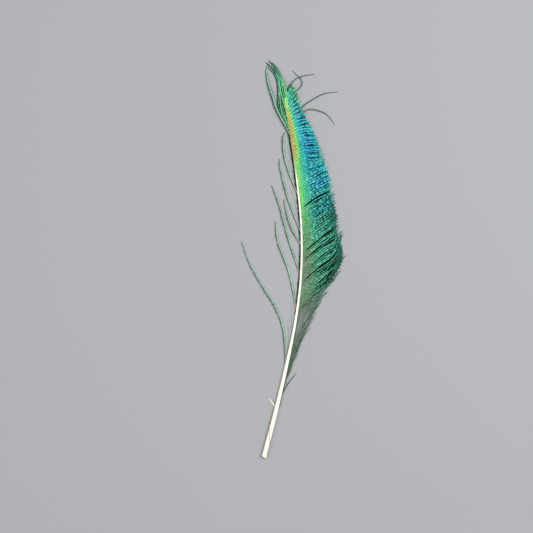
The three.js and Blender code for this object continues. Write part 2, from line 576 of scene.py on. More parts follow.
        tip = np.tile([0.2, 0.2, 0.2, 1.0], count)
        turned = 1 - follow((1 - s.row_lights[row]) * s.loose)
        light = np.repeat(follow(s.light) * self._uneven(count) * turned, 4)
        shaded = np.repeat(1 - self.tip_shade * follow(s.loose), 4)
        values = {
            "film": np.repeat(follow(s.film), 4),
            "dull": np.repeat(follow(s.dull), 4),
            "light": light * np.where(tip == 1.0, shaded, 1.0),
            "reach": np.repeat(at, 4),
            "strip": tip * self.strip * sign + self.strands,
        }
        self._add(blades.reshape(-1, 3), faces, False, values)

    def build(self) -> bpy.types.Object:
        """Makes the mesh.

        Returns:
            The new object, with its place in its mesh.
        """
        vertices = np.vstack(self.vertices) * MM
        faces = np.vstack(self.faces)
        mesh = bpy.data.meshes.new(self.name)
        mesh.vertices.add(len(vertices))
        mesh.vertices.foreach_set("co", vertices.astype(np.float32).ravel())
        mesh.loops.add(faces.size)
        mesh.loops.foreach_set("vertex_index", faces.astype(np.int32).ravel())
        mesh.polygons.add(len(faces))
        mesh.polygons.foreach_set("loop_start", np.arange(0, faces.size, 3, dtype=np.int32))
        mesh.polygons.foreach_set("use_smooth", np.concatenate(self.smooth))
        values = {key: np.concatenate(parts).astype(np.float32) for key, parts in self.values.items()}
        for key in self.VALUES[:3]:
            mesh.attributes.new(key, "FLOAT", "POINT").data.foreach_set("value", values[key])
        places = np.stack([0.01 + 0.98 * values["reach"], (values["strip"] + 0.5) / self.strands], 1)
        corners = places[faces.ravel()].astype(np.float32).ravel()
        mesh.uv_layers.new(name="OFBake").data.foreach_set("uv", corners)
        mesh.update()
        mesh.validate()
        made = bpy.data.objects.new(self.name, mesh)
        bpy.context.scene.collection.objects.link(made)
        LOG.info("%s: %d barbs, %d triangles", self.name, self.strands, len(faces))
        return made


@dataclass(frozen=True)
class Shade:
    """A stretch of the vane that is lighter than the rest, or darker below 0.

    share is the window up the vane. base counts all along its barbs, and more in the window reach of them.
    """

    share: Window
    base: float
    more: float = 0.0
    reach: Window = (0.0, 1.0)


@dataclass
class Barb:
    """What one barb of the broad vane is like along its length, before it is shaped.

    t and away say how far along it each point is, as a share and as a length. full is 1 in the vane's
    closed part and 0 among its downy barbs, upper is 1 in its upper part, and fan is 1 where its clumps fan
    out. loose is 1 where the barb stands apart, and bright is 1 on its beads, where its barbules turn to the
    light and are painted as highlights.
    """

    share: float
    t: Array
    away: Array
    full: Array
    upper: float
    fan: float
    loose: Array
    bright: Array


@dataclass
class BroadVane:
    """The broad vane: closed and smooth beside the quill, in clumps of rope-like barbs towards its margin.

    Its lowest barbs stand apart, thin and downy. Under the closed part, dark barbules fill the gaps, their
    darkness partly melanin and partly painted shade. Windows are shares of its height: where the closed part
    sets in, where barbs grow over the quill's top, where their tips turn up, where the fringe under the
    widest part is, where they end raggedly, where clumps draw together and where they fan out. band is a dark
    band
    across it: its place, its reach and how dark it is. The web values are the dark barbules'. longest is the
    longest barb's length, as a share of its line's length to the margin.
    """

    plan: Plan
    colouring: Colouring = field(default_factory=Colouring)
    barbs: int = 114
    samples: int = 96
    web_samples: int = 24
    root_height: float = 0.72
    tip_height: float = 0.55
    tip_spread: float = 0.6
    half_widths: tuple[float, float] = (0.13, 0.38)
    barbule: float = 1.4
    downy_barbule: float = 0.4
    blade: float = 0.32
    bead_length: float = 1.2
    lean: float = 0.03
    twist_length: float = 7.0
    dash_length: float = 4.5
    longest: float = 1.015
    web_from: float = 0.3
    web_drop: float = 0.5
    web_half_width: float = 1.3
    web_thickness: float = 0.06
    web_barbule: float = 1.6
    web_spacing: float = 0.34
    web_blade: float = 0.5
    web_angle: float = math.radians(58)
    closing: Window = (0.18, 0.38)
    on_top: Window = (0.7, 0.82)
    upturned: Window = (0.2, 0.3, 0.46, 0.6)
    fringe: Window = (0.2, 0.28, 0.38, 0.46)
    ragged: Window = (0.16, 0.24, 0.34, 0.39)
    gathered: Window = (0.18, 0.26, 0.33, 0.38)
    fanned: Window = (0.28, 0.36, 0.48, 0.58)
    shades: tuple[Shade, ...] = (
        Shade((0.14, 0.24, 0.34, 0.42), 0.25, -0.35, (0.5, 0.8)),
        Shade((0.7, 0.8), 0.0, -0.08, (0.45, 0.7)),
        Shade((0.4, 0.52, 0.7, 0.76), 0.1),
        Shade((0.44, 0.52, 0.56, 0.66), -0.2, 0.2, (0.2, 0.4)),
        Shade((0.26, 0.32, 0.52, 0.6), 0.0, 0.18, (0.3, 0.5, 0.75, 0.9)),
    )
    band: tuple[float, float, float] = (0.785, 0.05, 0.22)
    seed: int = 11
    pieces: tuple[tuple[str, float, float], ...] = (
        ("lower_vane", 0.0, 0.42),
        ("middle_vane", 0.42, 0.7),
        ("upper_vane", 0.7, 1.01),
    )

    def clumps(self, rng: np.random.Generator) -> Array:
        """Gathers the barbs in clumps of one to four.

        Args:
            rng: The random numbers.

        Returns:
            For each barb, the share at which its clump is centred, and how tightly the clump holds.
        """
        clumps: list[tuple[float, float]] = []
        while len(clumps) < self.barbs:
            size = int(rng.choice([1, 2, 3, 3, 4]))
            middle = (len(clumps) + size / 2) / self.barbs
            clumps += [(middle, rng.uniform(0.1, 0.75))] * size
        return np.array(clumps[: self.barbs])

    def line(self, share: float, tip_shares: Array, t: Array) -> tuple[Array, Array]:
        """A barb's line in plan, as it grew.

        Args:
            share: Its root's place up the vane.
            tip_shares: The place on the margin that it heads for, at each place along it.
            t: Places along it.

        Returns:
            A point [x, y] for each place, and the direction across the barb.
        """
        plan = self.plan
        y = plan.root_y(share)
        direction = plan.quill_direction(y)
        right = np.array([direction[1], -direction[0]])
        across = 0.3 - 0.6 * within(share, self.on_top)
        root = plan.quill_at(y)[0] + right * across * plan.width(y)
        lean = self.lean * within(share, (0.7, 0.8, 0.86, 1.0))
        tips = plan.margin_at(tip_shares - lean)
        spans = tips - root
        rise = 0.1 + 0.1 * smoothstep(0.7, 0.85, share)
        bend = root + 0.4 * spans + rise * np.linalg.norm(spans, axis=1, keepdims=True) * direction
        line = (1 - t)[:, None] ** 2 * root + (2 * t * (1 - t))[:, None] * bend + (t**2)[:, None] * tips
        return line, unit(np.array([-spans[0, 1], spans[0, 0]]))

    def loosened(self, share: float, clump: Array, t: Array, rng: np.random.Generator) -> Array:
        """A barb's line in plan, drawn to its clump, shortened unevenly, swayed and curled.

        Args:
            share: Its place up the vane.
            clump: The share at which its clump is centred, and how tightly the clump holds.
            t: Places along it.
            rng: The random numbers.

        Returns:
            A point [x, y] for each place.
        """
        # Clumps hold less where barbs are free, and more in the fringe
        windows = (self.upturned, self.fringe, self.ragged, self.gathered)
        upturned, fringe, ragged, gathered = (within(share, window) for window in windows)
        low = 1 - smoothstep(0.2, 0.42, share)
        centre, hold = clump
        short = (0.02 + 0.04 * upturned + 0.08 * low + 0.1 * fringe + 0.16 * ragged) * rng.random() ** 1.5
        free = 0.55 * smoothstep(0.36, 0.44, share) + 0.3 * smoothstep(0.55, 0.7, share)
        hold = hold * (1 - free) + 0.1 * fringe + 0.3 * gathered
        # Its tip is drawn to its clump, pushed by the partings, and turned up in the middle vane
        drawn = (centre - share) * hold + 0.3 * rng.normal() / self.barbs
        tips = share + drawn * t + self.plan.parted(share)
        upturn = upturned * (1 - 0.6 * smoothstep(0.42, 0.5, share)) * rng.uniform(0.0, 0.07)
        tips = tips + upturn * smoothstep(rng.uniform(0.55, 0.85), 1.0, t) ** 2
        line, across = self.line(share, tips, t * (self.longest - short))
        wave, phase = rng.uniform(1.2, 2.6), rng.uniform(0, 2 * math.pi)
        sway = (0.25 + 0.2 * low) * smoothstep(0.22, 0.55, t) * np.sin(2 * math.pi * wave * t + phase)
        sway = sway + rng.normal() * low * 0.8 * t**2
        return line + sway[:, None] * across

    def level(self, share: float, line: Array, t: Array, raised: float) -> Array:
        """How high a barb runs, from its root on the quill down to its tip.

        Args:
            share: Its place up the vane.
            line: Its line in plan.
            t: Places along it.
            raised: How far its tip is above the lowest ones.

        Returns:
            The height at each place.
        """
        plan = self.plan
        y = plan.root_y(share)
        root_z = plan.lifted(y) + self.root_height * plan.height(y) + 0.5 * within(share, self.on_top)
        tip_z = 0.5 * plan.lifted(line[-1, 1]) + self.tip_height + raised
        return root_z * (1 - t) ** 1.2 + tip_z * t

    def strand(self, index: int, clump: Array, rng: np.random.Generator) -> Strand:
        """Shapes one barb.

        Args:
            index: Its number, from the foot.
            clump: The share at which its clump is centred, and how tightly the clump holds.
            rng: The random numbers.

        Returns:
            The barb.
        """
        share = (index + 0.5) / self.barbs
        t = np.linspace(0, 1, self.samples)
        line = self.loosened(share, clump, t, rng)
        away = distances(line)
        full = within(share + 0.16 * (t - 0.5), self.closing)
        upper, fan = smoothstep(0.55, 0.75, share), within(share, self.fanned)

        # Past start the barb stands apart from its neighbours, in beads, but not close to the quill
        start = 0.08 + 0.12 * smoothstep(0.34, 0.46, share) + 0.25 * smoothstep(0.78, 0.93, share)
        start = start + rng.uniform(-0.06, 0.1) * smoothstep(0.3, 0.45, share)
        loose = smoothstep(start, start + 0.22, t) * smoothstep(3.0, 8.0, away)
        bright = self.beads(away, self.bead_length + 0.5 * upper + 0.6 * fan, rng)
        barb = Barb(share, t, away, full, upper, fan, loose, bright)

        # It turns a little about its line, and every other one rides over its neighbours
        turn = 2 * math.pi * away / self.twist_length + rng.uniform(0, 2 * math.pi)
        roll = (0.1 + 0.4 * loose) * np.sin(turn) * (0.4 + 0.6 * full)
        z = self.level(share, line, t, self.tip_spread * rng.random())
        z = z + (0.35 * (index % 2) * loose + 0.24 * loose * (bright - 0.5)) * (1 - 0.5 * t**3)
        downy_half, closed_half = self.half_widths
        half = downy_half + (closed_half - downy_half) * full
        half = half * (1 - 0.7 * t**7) * np.minimum(1, 0.6 + 3 * t)
        thick = 0.10 + 0.14 * full * loose
        z = np.maximum(z, thick / 2 + half * np.abs(np.sin(roll)) + 0.04)
        points = np.column_stack([line, z])
        return Strand(points, half, thick, roll, *self._rows(barb, rng), *self._colours(barb, rng), loose)

    def _rows(self, barb: Barb, rng: np.random.Generator) -> tuple[Array, Pair, Pair]:
        """How long the barbules are along a barb, and how long and bright each of its two rows is.

        Args:
            barb: What the barb is like.
            rng: The random numbers.

        Returns:
            The barbules' lengths, and a factor on length and one on brightness for the rows below and above.
        """
        share, t, upper, loose = barb.share, barb.t, barb.upper, barb.loose
        # In the closed part barbules get shorter towards the margin, and are longer in the upper vane
        closed = self.barbule - 0.3 * loose * (1 - upper) + 0.3 * loose * (barb.bright - 0.6)
        closed = closed * (1 - 0.4 * t**9)
        closed = closed * (1 + 0.2 * smoothstep(0.86, 1.0, share))
        closed = closed * (1 + 0.25 * upper * smoothstep(0.6, 0.9, t))
        closed = closed * (1 - 0.35 * (1 - smoothstep(0.34, 0.44, share)) * loose * smoothstep(0.2, 0.7, t))
        # Downy barbs have them in loose tufts
        tufted = rng.uniform(0.1, 1.0) ** 2
        downy = self.downy_barbule + 0.5 * tufted * within(t, (0.3, 0.6, 0.75, 1.0))
        downy = downy + 0.4 * smoothstep(0.16, 0.24, share) * smoothstep(0.4, 0.7, t)
        # Beside a parting, and in the gaps between dashes, a row is shorter
        parting = 0.6 * smoothstep(0.04, 0.12, t)
        below, above = (1 - parting * self.beside_parting(share + side / self.barbs) for side in (-0.5, 0.5))
        gaps = 1 - smoothstep(0.4, 0.7, self.beads(barb.away, self.dash_length, rng))
        dashes = 1 - smoothstep(0.46, 0.64, share) * gaps
        below = below * (1 - (0.6 + 0.2 * upper) * loose * dashes * rng.uniform(0.2, 1))
        # The lower row is painted in shade, as the one that faces away, most of all low on the vane and
        # between dashes
        dark_row = 1 - 0.9 * dashes * float(smoothstep(0.26, 0.4, share)) * rng.uniform(0.3, 1)
        return barb.full * closed + (1 - barb.full) * downy, (below, above), (dark_row, 1.0)

    def _colours(self, barb: Barb, rng: np.random.Generator) -> tuple[Array, Array, Array]:
        """The colour values along a barb.

        Args:
            barb: What the barb is like.
            rng: The random numbers.

        Returns:
            Its film, dull and light values.
        """
        share, t, upper, fan, loose = barb.share, barb.t, barb.upper, barb.fan, barb.loose
        blue = self.colouring.blue(share, t)
        # Where it stands apart, its beads are painted as highlights and the stretches between them in shade
        tone = 0.95 + rng.uniform(-0.25, 0.25) * (1 + 0.9 * fan)
        depth = loose * (0.25 + 0.75 * smoothstep(0.2, 0.34, share)) * (1 - 0.55 * blue)
        depth = depth * (1 - 0.4 * smoothstep(0.66, 0.84, share))
        beads = (1 - 0.45 * fan) * barb.bright**1.6 + 0.19 * fan
        beaded = tone * (0.2 + 0.15 * upper + (2.3 + 0.2 * upper) * beads)
        beaded = beaded * (1 - 0.5 * smoothstep(0.22, 0.34, share) * (1 - upper) * smoothstep(0.55, 0.95, t))
        light = (1 - depth) * (0.9 + 0.1 * tone) + depth * beaded
        # Whole stretches of the vane are lighter or darker
        light = light * (0.74 + 0.26 * smoothstep(0.25, 0.38, share) + 0.2 * smoothstep(0.66, 0.86, share))
        place, reach, dark = self.band
        band = np.exp(-(((share - place) / reach) ** 2)) * smoothstep(0.15, 0.4, t)
        light = light * (1 - dark * band) * (1 + 0.12 * blue)
        for shade in self.shades:
            much = shade.base + shade.more * within(t, shade.reach)
            light = light * (1 + within(share, shade.share) * much)
        film = self.colouring.film(share, t, barb.away) + 0.04 * rng.normal() * loose
        # Its painted highlights are less downy and grey
        dull = self.colouring.dull(share, t) * (1 - 0.6 * loose * barb.bright * smoothstep(0.27, 0.4, share))
        return film, dull, light

    def beads(self, away: Array, size: float, rng: np.random.Generator) -> Array:
        """Uneven beads along a barb, from 0, dark, to 1, where its barbules turn to the light.

        Args:
            away: How far along it each point is.
            size: About how long a bead is.
            rng: The random numbers.

        Returns:
            The value at each point.
        """
        steps = rng.uniform(0.5, 1.6, int(2 * away[-1] / size) + 2) * size
        swing = rng.uniform(0.1, 1.0, len(steps)) * np.where(np.arange(len(steps)) % 2, 1, -1)
        return np.interp(away, np.cumsum(steps) - steps[0], 0.5 + 0.5 * swing)

    def beside_parting(self, share: float) -> float:
        """1 where a parting runs at this share of the vane, and 0 elsewhere."""
        return float(any(abs(share - at) < 0.6 / self.barbs for at, _ in self.plan.partings))

    def under(self, index: int) -> Strand:
        """The dark barbules under a barb of the closed part, spread as they grew, so they close its gaps.

        Args:
            index: The barb's number, from the foot.

        Returns:
            A strand of them, lower and a little shorter than the barb.
        """
        share = (index + 0.5) / self.barbs
        upper = smoothstep(0.66, 0.84, share)
        end = 0.96 - 0.03 * (1 - smoothstep(0.5, 0.62, share)) - 0.18 * (1 - smoothstep(0.28, 0.36, share))
        t = np.linspace(0.03, end + 0.03 * math.sin(12.9 * index), self.web_samples)
        line, _ = self.line(share, np.full(len(t), share), t)
        z = np.maximum(self.level(share, line, t, 0.0) - self.web_drop, 0.1)
        parted = max(self.beside_parting(share + side / self.barbs) for side in (-0.5, 0.5))
        # Its gaps, and the stretches beside partings, are painted in shade, nearly black
        gap = smoothstep(0.2 + 0.12 * upper, 0.5 + 0.2 * upper, t)
        gap = np.maximum(gap, parted * smoothstep(0.06, 0.14, t))
        light = 0.95 - (0.93 - 0.08 * upper) * gap + (0.16 + 0.06 * upper) * smoothstep(0.75, 0.9, t)
        film, dull = self.colouring.film(share, t, distances(line)), self.colouring.dull(share, t)
        half, barbule = self.web_half_width * (1 - 0.6 * t**8), self.web_barbule * (1 - 0.5 * t**8)
        points, flat, even = np.column_stack([line, z]), np.zeros(len(t)), (1.0, 1.0)
        thick = flat + self.web_thickness
        return Strand(points, half, thick, flat, barbule, even, even, film, dull, light, flat)

    def build(self) -> list[bpy.types.Object]:
        """Makes the vane in a few pieces, from the foot up, and the dark barbules under it.

        Returns:
            The new objects.
        """
        rng = np.random.default_rng(self.seed)
        strands = [self.strand(i, clump, rng) for i, clump in enumerate(self.clumps(rng))]
        made = []
        for name, low, high in self.pieces:
            mesh = StrandMesh(name, blade=self.blade, seed=self.seed + len(made))
            for i, strand in enumerate(strands):
                if low <= (i + 0.5) / self.barbs < high:
                    mesh.add(strand)
            made.append(mesh.build())
        below = StrandMesh(
            "under_barbules",
            spacing=self.web_spacing,
            angle=self.web_angle,
            blade=self.web_blade,
            seed=self.seed,
        )
        for i in range(int(self.web_from * self.barbs), self.barbs):
            below.add(self.under(i))
        return made + [below.build()]


@dataclass(frozen=True)
class Row:
    """A row of small barbs beside the quill.

    Their roots are between two heights, each up to shift off its place. away is how far their tips are from
    the quill's side, and side is -1 for its left and 1 for its right.
    """

    count: int
    between: tuple[float, float]
    shift: float
    length: tuple[float, float]
    away: tuple[float, float]
    half_width: float
    light: float
    dull: float
    side: int


@dataclass
class NarrowVane:
    """Short dark barbs pressed to the quill's left, fewer low on its right, and thin ones that lean away."""

    plan: Plan
    # The pressed barbs' darkness is partly real dark barbs and partly painted shadow beside the quill
    pressed: tuple[Row, ...] = (
        Row(
            count=84, between=(102.0, 258.0), shift=1.0, length=(6.0, 12.0), away=(0.4, 1.3),
            half_width=0.6, light=0.1, dull=0.5, side=-1,
        ),
        Row(
            count=30, between=(26.0, 112.0), shift=1.0, length=(7.0, 13.0), away=(0.2, 0.8),
            half_width=0.4, light=0.25, dull=0.5, side=1,
        ),
    )  # fmt: skip
    thin: tuple[Row, ...] = (
        Row(
            count=20, between=(66.0, 236.0), shift=4.0, length=(22.0, 42.0), away=(1.5, 6.5),
            half_width=0.13, light=0.8, dull=0.75, side=-1,
        ),
    )  # fmt: skip
    pressed_spacing: float = 0.35
    thin_spacing: float = 0.5
    film: float = 0.42
    loose: float = 0.4
    lowest: float = 0.2
    samples: int = 24
    seed: int = 41

    def strand(self, y: float, row: Row, rng: np.random.Generator) -> Strand:
        """Shapes one barb, which follows the quill and leans away from it.

        Args:
            y: The height of its place in the row.
            row: The row that it is in.
            rng: The random numbers.

        Returns:
            The barb.
        """
        plan = self.plan
        length, away = rng.uniform(*row.length), rng.uniform(*row.away)
        y = y + rng.uniform(-row.shift, row.shift)
        t = np.linspace(0, 1, self.samples)
        up = np.minimum(y + length * t, plan.end)
        beyond = y + length * t - up
        # It keeps to the quill's side at first, and leans away towards its tip
        middle = plan.quill_at(up)
        offset = 0.42 * plan.width(up) * np.minimum(1, 0.7 + 3 * t) + 0.15 + away * t**1.6
        sway = 0.15 * np.sin(2 * math.pi * rng.uniform(1, 2) * t + rng.uniform(0, 6)) * t
        z = plan.lifted(y) + 0.45 * plan.height(y) * (1 - t) ** 2 - 0.6 * plan.lifted(y) * t * t
        across, along = middle[:, 0] + row.side * (offset + sway), middle[:, 1] + beyond
        points = np.column_stack([across, along, np.maximum(z, self.lowest)])
        half = row.half_width * (1 - 0.6 * t**2)
        even, ones = (1.0, 1.0), np.ones(self.samples)
        film, dull, loose = self.film * ones, row.dull * ones, self.loose * ones
        light = row.light * rng.uniform(0.8, 1.2) * ones
        roll = 0.2 * np.sin(9 * t)
        return Strand(points, half, 0.6 * half, roll, 1.7 * half, even, even, film, dull, light, loose)

    def build(self) -> list[bpy.types.Object]:
        """Makes the pressed barbs and the thin ones.

        Returns:
            The new objects.
        """
        rng = np.random.default_rng(self.seed)
        made = []
        for name, spacing, rows in (
            ("pressed_barbs", self.pressed_spacing, self.pressed),
            ("thin_barbs", self.thin_spacing, self.thin),
        ):
            mesh = StrandMesh(name, spacing=spacing, seed=self.seed)
            for row in rows:
                for y in np.linspace(*row.between, row.count):
                    mesh.add(self.strand(y, row, rng))
            made.append(mesh.build())
        return made


@dataclass
class LooseBarbs:
    """Barbs that lie by themselves, each along a route in plan from its root to its tip."""

    plan: Plan
    name: str
    routes: Sequence[Route]
    half_width: float = 0.3
    thickness: float = 0.22
    barbule: float = 0.5
    copies: int = 1
    fan: float = 0.0
    films: tuple[float, float] = (0.42, 0.5)
    dull: float = 0.7
    lights: tuple[float, float] = (0.6, 0.9)
    fading: float = 0.0
    raised: float = 0.0
    rows: tuple[float, float] = (1.0, 1.0)
    row_lights: tuple[float, float] = (1.0, 1.0)
    samples: int = 56
    seed: int = 5

    def strand(self, route: Route, number: int, rng: np.random.Generator) -> Strand:
        """Shapes one loose barb.

        Args:
            route: Its points in plan, from the root.
            number: Which of the copies along the route it is.
            rng: The random numbers.

        Returns:
            The barb.
        """
        plan = self.plan
        y = route[0][1]
        # It grows from inside the quill, a little below its first point, and copies of it spread sideways
        inner = (float(plan.quill_at(y)[0, 0]), y - 2.0)
        t = np.linspace(0, 1, self.samples)
        line = spline([inner, *route[1:]], t)
        drift = self.fan * (number - (self.copies - 1) / 2 + rng.uniform(-0.3, 0.3))
        heading = unit(np.gradient(line, axis=0))
        aside = np.stack([heading[:, 1], -heading[:, 0]], 1)
        line = line + aside * (drift * np.sin(math.pi * np.minimum(1, 0.15 + t)))[:, None]
        # From the quill's side it comes down to rest
        root_z = plan.lifted(y) + 0.5 * plan.height(y)
        rest = 0.6 * plan.lifted(np.minimum(line[:, 1], plan.end)) * (1 - t * t)
        grow = np.minimum(1, 0.4 + 4 * t) * (1 - 0.6 * t**3)
        half, thick = self.half_width * grow, self.thickness * grow
        turn = 2 * math.pi * rng.uniform(1.5, 3.5) * t + rng.uniform(0, 2 * math.pi)
        roll = 0.3 * np.sin(turn)
        z = rest + (root_z - rest) * (1 - t) ** 3 + 0.2 * number + self.raised
        z = np.maximum(z, thick / 2 + half * np.abs(np.sin(roll)) + 0.03)
        barbule = self.barbule * grow * (0.6 + 0.5 * smoothstep(0.1, 0.5, t))
        light = rng.uniform(*self.lights) * (1 + 0.15 * np.sin(2 * turn)) * (1 + self.fading * (1 - 2 * t))
        film = self.films[0] + (self.films[1] - self.films[0]) * t + rng.uniform(-0.1, 0.1)
        dull = self.dull + 0.4 * (1 - self.dull) * smoothstep(0.75, 1.0, t)
        ones = np.ones(self.samples)
        points = np.column_stack([line, z])
        return Strand(points, half, thick, roll, barbule, self.rows, self.row_lights, film, dull, light, ones)

    def build(self) -> bpy.types.Object:
        """Makes all of them as one piece.

        Returns:
            The new object.
        """
        rng = np.random.default_rng(self.seed)
        mesh = StrandMesh(self.name, seed=self.seed)
        for route in self.routes:
            for number in range(self.copies):
                mesh.add(self.strand(route, number, rng), barbules=self.barbule > 0)
        return mesh.build()


# ---- Quill -----------------------------------------------------------------------------------


@dataclass
class Quill:
    """The quill: a tapering, bowed shaft with a flat underside, cut askew at its hollow foot.

    Its sheath is split there, in a fine line that crosses the shaft from its left side down to its right.
    """

    plan: Plan
    sides: int = 32
    steps: int = 44
    split_steps: int = 18
    split_from: float = 13.0
    split_depth: float = 0.3
    split_reach: float = 0.2
    flat: float = 0.12
    askew: float = 0.35
    wall: float = 0.55
    hollow: float = 3.0
    hollow_size: float = 0.8
    inward: tuple[float, float, float] = (0.24, 0.97, 0.0)
    sharp: float = math.radians(50)

    def build(self) -> bpy.types.Object:
        """Extrudes a flattened circle along the quill's line, step by step.

        Returns:
            The new object.
        """
        plan = self.plan
        split = np.linspace(plan.foot, self.split_from, self.split_steps, endpoint=False)
        heights = np.concatenate([split, np.linspace(self.split_from, plan.end, self.steps)])
        centres = [self._centre(y) for y in heights]
        bpy.ops.object.select_all(action="DESELECT")
        bpy.ops.mesh.primitive_circle_add(
            vertices=self.sides,
            radius=plan.widths[0] / 2 * MM,
            fill_type="NGON",
            location=centres[0],
            rotation=(math.pi / 2, 0, 0),
        )
        made = bpy.context.object
        made.name = "quill"
        bpy.ops.object.transform_apply(location=True, rotation=True, scale=True)
        bpy.ops.object.mode_set(mode="EDIT")
        bpy.ops.mesh.select_all(action="SELECT")
        bpy.ops.transform.resize(value=(1, 1, plan.height_share), center_override=centres[0])
        for i in range(1, len(centres)):
            step = centres[i] - centres[i - 1]
            narrow = plan.width(heights[i]) / plan.width(heights[i - 1])
            bpy.ops.mesh.extrude_region_move(TRANSFORM_OT_translate={"value": step})
            bpy.ops.transform.resize(value=(narrow, 1, narrow), center_override=centres[i])
        bpy.ops.mesh.select_all(action="SELECT")
        bpy.ops.mesh.normals_make_consistent(inside=False)
        bpy.ops.object.mode_set(mode="OBJECT")
        self._turn_rings(made.data, heights, centres)
        self._open_end(made, centres[0])
        bpy.ops.object.shade_smooth_by_angle(angle=self.sharp)
        self._write_values(made.data)
        LOG.info("quill: %d faces", len(made.data.polygons))
        return made

    def _centre(self, y: float) -> Vector:
        """The middle of the quill at height y up the feather."""
        x, at = self.plan.quill_at(y)[0]
        return Vector((x, at, self.plan.lifted(y) + self.plan.height(y) / 2)) * MM

    def _turn_rings(self, mesh: bpy.types.Mesh, heights: Array, centres: list[Vector]) -> None:
        """Turns each ring square to the quill's line, flattens its underside and cuts the sheath's split.

        Args:
            mesh: The quill's mesh.
            heights: How far up the feather each ring is.
            centres: The rings' middles.
        """
        plan = self.plan
        for vertex in mesh.vertices:
            y = vertex.co.y / MM
            i = int(np.argmin(np.abs(heights - y)))
            centre, direction = centres[i], plan.quill_direction(float(heights[i]))
            across = vertex.co.x - centre.x
            bottom = plan.lifted(heights[i]) * MM
            low = (vertex.co.z - bottom) / (plan.height(heights[i]) * MM)
            if low < 0.5:
                raised = max(0.0, (low - self.flat) / (0.5 - self.flat)) * 0.5
                vertex.co.z = bottom + plan.height(heights[i]) * MM * raised
            beside = abs(across / (plan.width(heights[i]) / 2 * MM) - plan.split_at(heights[i]))
            if low > 0.5 and beside < self.split_reach:
                vertex.co.z -= self.split_depth * (1 - beside / self.split_reach) * MM
            vertex.co.x = centre.x + across * direction[1]
            vertex.co.y = centre.y - across * (direction[0] + (self.askew if i == 0 else 0.0))

    def _open_end(self, made: bpy.types.Object, centre: Vector) -> None:
        """Insets the cut end and pushes the inset face in, which leaves the quill's wall round a hollow.

        Args:
            made: The quill.
            centre: The middle of its cut end.
        """
        bpy.ops.object.mode_set(mode="EDIT")
        bpy.ops.mesh.select_mode(type="FACE")
        bpy.ops.mesh.select_all(action="DESELECT")
        bpy.ops.object.mode_set(mode="OBJECT")
        for face in made.data.polygons:
            face.select = face.normal.y < -0.9 and (face.center - centre).length < self.plan.widths[0] * MM
        bpy.ops.object.mode_set(mode="EDIT")
        bpy.ops.mesh.inset(thickness=self.wall * MM, depth=0)
        inward = Vector(self.inward) * self.hollow * MM
        bpy.ops.mesh.extrude_region_move(TRANSFORM_OT_translate={"value": inward})
        narrow = (self.hollow_size, 1, self.hollow_size)
        bpy.ops.transform.resize(value=narrow, center_override=centre + inward)
        bpy.ops.object.mode_set(mode="OBJECT")

    def _write_values(self, mesh: bpy.types.Mesh) -> None:
        """Writes how far up and how far across the quill each vertex is, for its finish.

        Args:
            mesh: The quill's mesh.
        """
        co = np.empty(len(mesh.vertices) * 3, np.float32)
        mesh.vertices.foreach_get("co", co)
        co = co.reshape(-1, 3) / MM
        centre = self.plan.quill_at(co[:, 1])[:, 0]
        across = (co[:, 0] - centre) / (self.plan.width(co[:, 1]) / 2)
        split = np.abs(across - self.plan.split_at(co[:, 1]))
        for name, values in (("upward", self.plan.along(co[:, 1])), ("across", across), ("split", split)):
            attribute = mesh.attributes.new(name, "FLOAT", "POINT")
            attribute.data.foreach_set("value", values.astype(np.float32))


# ---- Finishes --------------------------------------------------------------------------------


